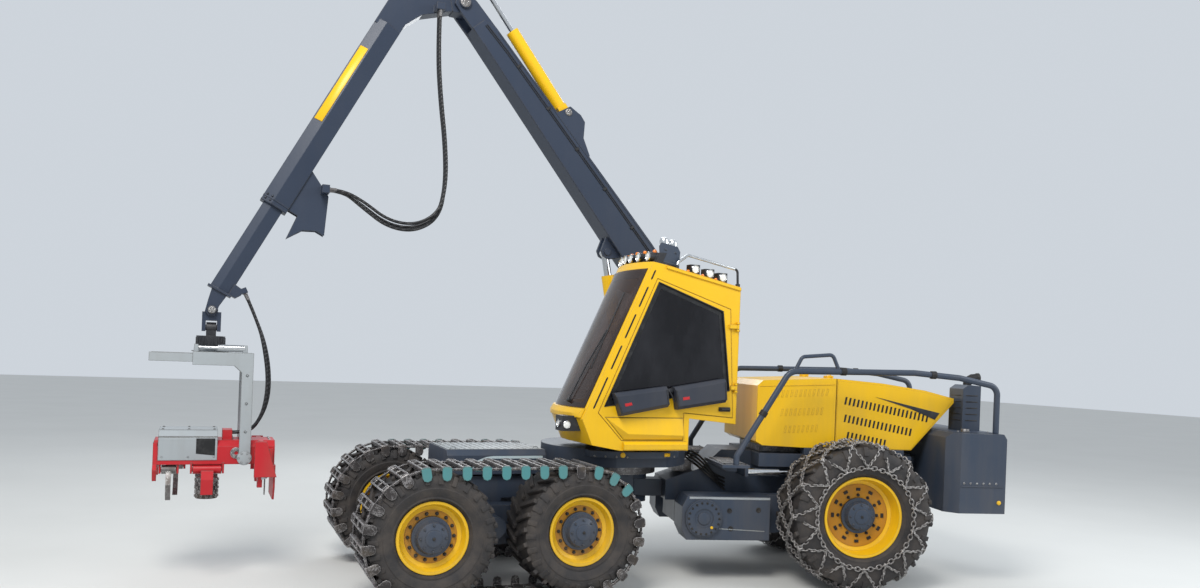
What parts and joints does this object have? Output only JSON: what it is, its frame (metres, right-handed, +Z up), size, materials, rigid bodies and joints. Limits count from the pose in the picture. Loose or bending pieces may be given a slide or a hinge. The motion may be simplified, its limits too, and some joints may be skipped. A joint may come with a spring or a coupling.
{
  "type": "forestry harvester",
  "caption": "Articulated forestry harvester with crawler belts on a bogie, a slewing cab, a telescopic knuckle crane and a hanging felling head.",
  "frame": {"origin": "middle of the outline on the ground, cords left out", "axes": "+X forward along the front frame, +Y to the left, +Z up"},
  "size_m": [9.8228, 3.7228, 7.1715],
  "materials": {
    "yellow_paint": "satin",
    "slate_paint": "satin",
    "crane_paint": "satin",
    "grey_paint": "satin",
    "red_paint": "satin",
    "rubber": "matte",
    "belt_steel": "worn",
    "chrome": "polished",
    "black_plastic": "satin",
    "tinted_glass": "clear",
    "seat_cloth": "woven",
    "steel": "cast",
    "hose_rubber": "matte"
  },
  "bodies": {
    "front_frame": {"front_chassis": "slate_paint", "front_deck": "grey_paint", "slew_ring": "steel", "front_tyres": "rubber", "front_rims": "yellow_paint", "front_hubs": "slate_paint", "belt_left": "belt_steel", "belt_right": "belt_steel", "bogie_housings": "slate_paint"},
    "rear_frame": {"rear_chassis": "slate_paint", "engine": "steel", "bonnet_front": "yellow_paint", "rear_tank": "slate_paint", "exhaust_box": "slate_paint", "guard_rails": "slate_paint", "pendulum_arms": "slate_paint", "suspension_cylinders": "chrome"},
    "bonnet_lid": {"bonnet_rear": "yellow_paint"},
    "wheel_rear_left": {"rear_tyre_left": "rubber", "rear_rim_left": "yellow_paint", "rear_chain_left": "belt_steel"},
    "wheel_rear_right": {"rear_tyre_right": "rubber", "rear_rim_right": "yellow_paint", "rear_chain_right": "belt_steel"},
    "superstructure": {"platform": "slate_paint", "cab_shell": "yellow_paint", "cab_glass": "tinted_glass", "crane_pillar": "crane_paint", "seat": "seat_cloth", "lamps": "black_plastic"},
    "cab_door": {"cab_door": "yellow_paint", "door_glass": "tinted_glass", "door_boxes": "black_plastic"},
    "main_boom": {"main_boom": "crane_paint"},
    "lift_barrel": {"lift_barrel": "yellow_paint"},
    "lift_rod": {"lift_rod": "chrome"},
    "stick": {"stick": "crane_paint", "hose_boom": "hose_rubber"},
    "stick_barrel": {"stick_barrel": "yellow_paint"},
    "stick_rod": {"stick_rod": "chrome"},
    "extension": {"stick_extension": "crane_paint", "hose_head": "hose_rubber"},
    "link": {"link": "crane_paint"},
    "rotator": {"rotator": "black_plastic"},
    "tilt_frame": {"tilt_frame": "grey_paint"},
    "head": {"head_frame": "grey_paint", "head_cover": "grey_paint", "head_guards": "red_paint", "saw_box": "black_plastic"},
    "feed_arm_left": {"feed_arm_left": "red_paint"},
    "feed_arm_right": {"feed_arm_right": "red_paint"},
    "feed_roller_left": {"feed_roller_left": "steel"},
    "feed_roller_right": {"feed_roller_right": "steel"},
    "knife_left": {"knife_left": "steel"},
    "knife_right": {"knife_right": "steel"},
    "saw_bar": {"saw_bar": "steel"}
  },
  "joints": [
    {"name": "steering", "type": "hinge", "parent": "front_frame", "child": "rear_frame", "pos_m": [-0.54, -0.4, 0.975], "axis": [0, 0, 1], "range_deg": [-24.7, 55.3]},
    {"name": "wheel_left_spin", "type": "hinge", "parent": "rear_frame", "child": "wheel_rear_left", "pos_m": [-2.55241, 1.28447, 0.8535], "axis": [0.2634, 0.9647, 0], "continuous": true},
    {"name": "wheel_right_spin", "type": "hinge", "parent": "rear_frame", "child": "wheel_rear_right", "pos_m": [-3.12919, -0.82821, 0.8535], "axis": [0.2634, 0.9647, 0], "continuous": true},
    {"name": "bonnet_lift", "type": "hinge", "parent": "rear_frame", "child": "bonnet_lid", "pos_m": [-2.7588, 0.20575, 2.42], "axis": [0.2634, 0.9647, 0], "range_deg": [0, 50]},
    {"name": "slew", "type": "hinge", "parent": "front_frame", "child": "superstructure", "pos_m": [-0.24, -0.4, 1.3], "axis": [0, 0, 1], "range_deg": [-110, 110]},
    {"name": "door", "type": "hinge", "parent": "superstructure", "child": "cab_door", "pos_m": [-1.23, 0.774, 2.6], "axis": [0, 0, -1], "range_deg": [-80, 0]},
    {"name": "boom_lift", "type": "hinge", "parent": "superstructure", "child": "main_boom", "pos_m": [-1.29, -0.95, 3.25], "axis": [0, -1, 0], "range_deg": [-9, 33]},
    {"name": "lift_swing", "type": "hinge", "parent": "superstructure", "child": "lift_barrel", "pos_m": [-0.6, -0.95, 2.2], "axis": [0, -1, 0], "range_deg": [-4.5, 16]},
    {"name": "lift_stroke", "type": "slide", "parent": "lift_barrel", "child": "lift_rod", "axis": [0.1938, 0, 0.981], "range_m": [-0.13, 0.46]},
    {"name": "stick_fold", "type": "hinge", "parent": "main_boom", "child": "stick", "pos_m": [1.71011, -0.95, 6.66015], "axis": [0, 1, 0], "range_deg": [-90, 5]},
    {"name": "stick_cylinder_swing", "type": "hinge", "parent": "main_boom", "child": "stick_barrel", "pos_m": [0.35606, -0.95, 5.55251], "axis": [0, 1, 0], "range_deg": [-0.2, 1.6]},
    {"name": "stick_stroke", "type": "slide", "parent": "stick_barrel", "child": "stick_rod", "axis": [0.6156, 0, 0.7881], "range_m": [-0.69, 0.06]},
    {"name": "extension_slide", "type": "slide", "parent": "stick", "child": "extension", "axis": [-0.471, 0, 0.8821], "range_m": [-0.9, 0.9], "deforming": ["hose_head"]},
    {"name": "link_swing", "type": "hinge", "parent": "extension", "child": "link", "pos_m": [4.33074, -0.95, 2.89011], "axis": [0, -1, 0], "range_deg": [-20, 90], "deforming": ["hose_head"]},
    {"name": "side_swing", "type": "hinge", "parent": "link", "child": "rotator", "pos_m": [4.33074, -0.95, 2.70011], "axis": [1, 0, 0], "range_deg": [-30, 30], "deforming": ["hose_head"]},
    {"name": "rotator_turn", "type": "hinge", "parent": "rotator", "child": "tilt_frame", "pos_m": [4.33074, -0.95, 2.48011], "axis": [0, 0, 1], "continuous": true, "deforming": ["hose_head"]},
    {"name": "head_tilt", "type": "hinge", "parent": "tilt_frame", "child": "head", "pos_m": [3.96, -0.95, 1.32], "axis": [0, -1, 0], "range_deg": [-15, 90], "deforming": ["hose_head"]},
    {"name": "feed_arm_left_open", "type": "hinge", "parent": "head", "child": "feed_arm_left", "pos_m": [4.32, -0.725, 1.194], "axis": [1, 0, 0], "range_deg": [0, 40]},
    {"name": "feed_arm_right_open", "type": "hinge", "parent": "head", "child": "feed_arm_right", "pos_m": [4.32, -1.175, 1.194], "axis": [1, 0, 0], "range_deg": [-40, 0]},
    {"name": "roller_left_spin", "type": "hinge", "parent": "feed_arm_left", "child": "feed_roller_left", "pos_m": [4.32, -0.62, 1.02], "axis": [0, 0, 1], "continuous": true},
    {"name": "roller_right_spin", "type": "hinge", "parent": "feed_arm_right", "child": "feed_roller_right", "pos_m": [4.32, -1.28, 1.02], "axis": [0, 0, 1], "continuous": true},
    {"name": "knife_left_open", "type": "hinge", "parent": "head", "child": "knife_left", "pos_m": [4.69, -0.75, 1.195], "axis": [1, 0, 0], "range_deg": [0, 60]},
    {"name": "knife_right_open", "type": "hinge", "parent": "head", "child": "knife_right", "pos_m": [4.63, -1.15, 1.195], "axis": [1, 0, 0], "range_deg": [-60, 0]},
    {"name": "saw_swing", "type": "hinge", "parent": "head", "child": "saw_bar", "pos_m": [3.711, -1.195, 1.11], "axis": [1, 0, 0], "range_deg": [0, 75]}
  ],
  "couplings": [
    {"joint": "lift_swing", "follows": "boom_lift", "ratio": 0.48},
    {"joint": "lift_stroke", "follows": "boom_lift", "m_per_rad": 0.78},
    {"joint": "stick_cylinder_swing", "follows": "stick_fold", "ratio": -0.015},
    {"joint": "stick_stroke", "follows": "stick_fold", "m_per_rad": 0.425},
    {"joint": "feed_arm_right_open", "follows": "feed_arm_left_open", "ratio": -1},
    {"joint": "knife_right_open", "follows": "knife_left_open", "ratio": -1}
  ]
}
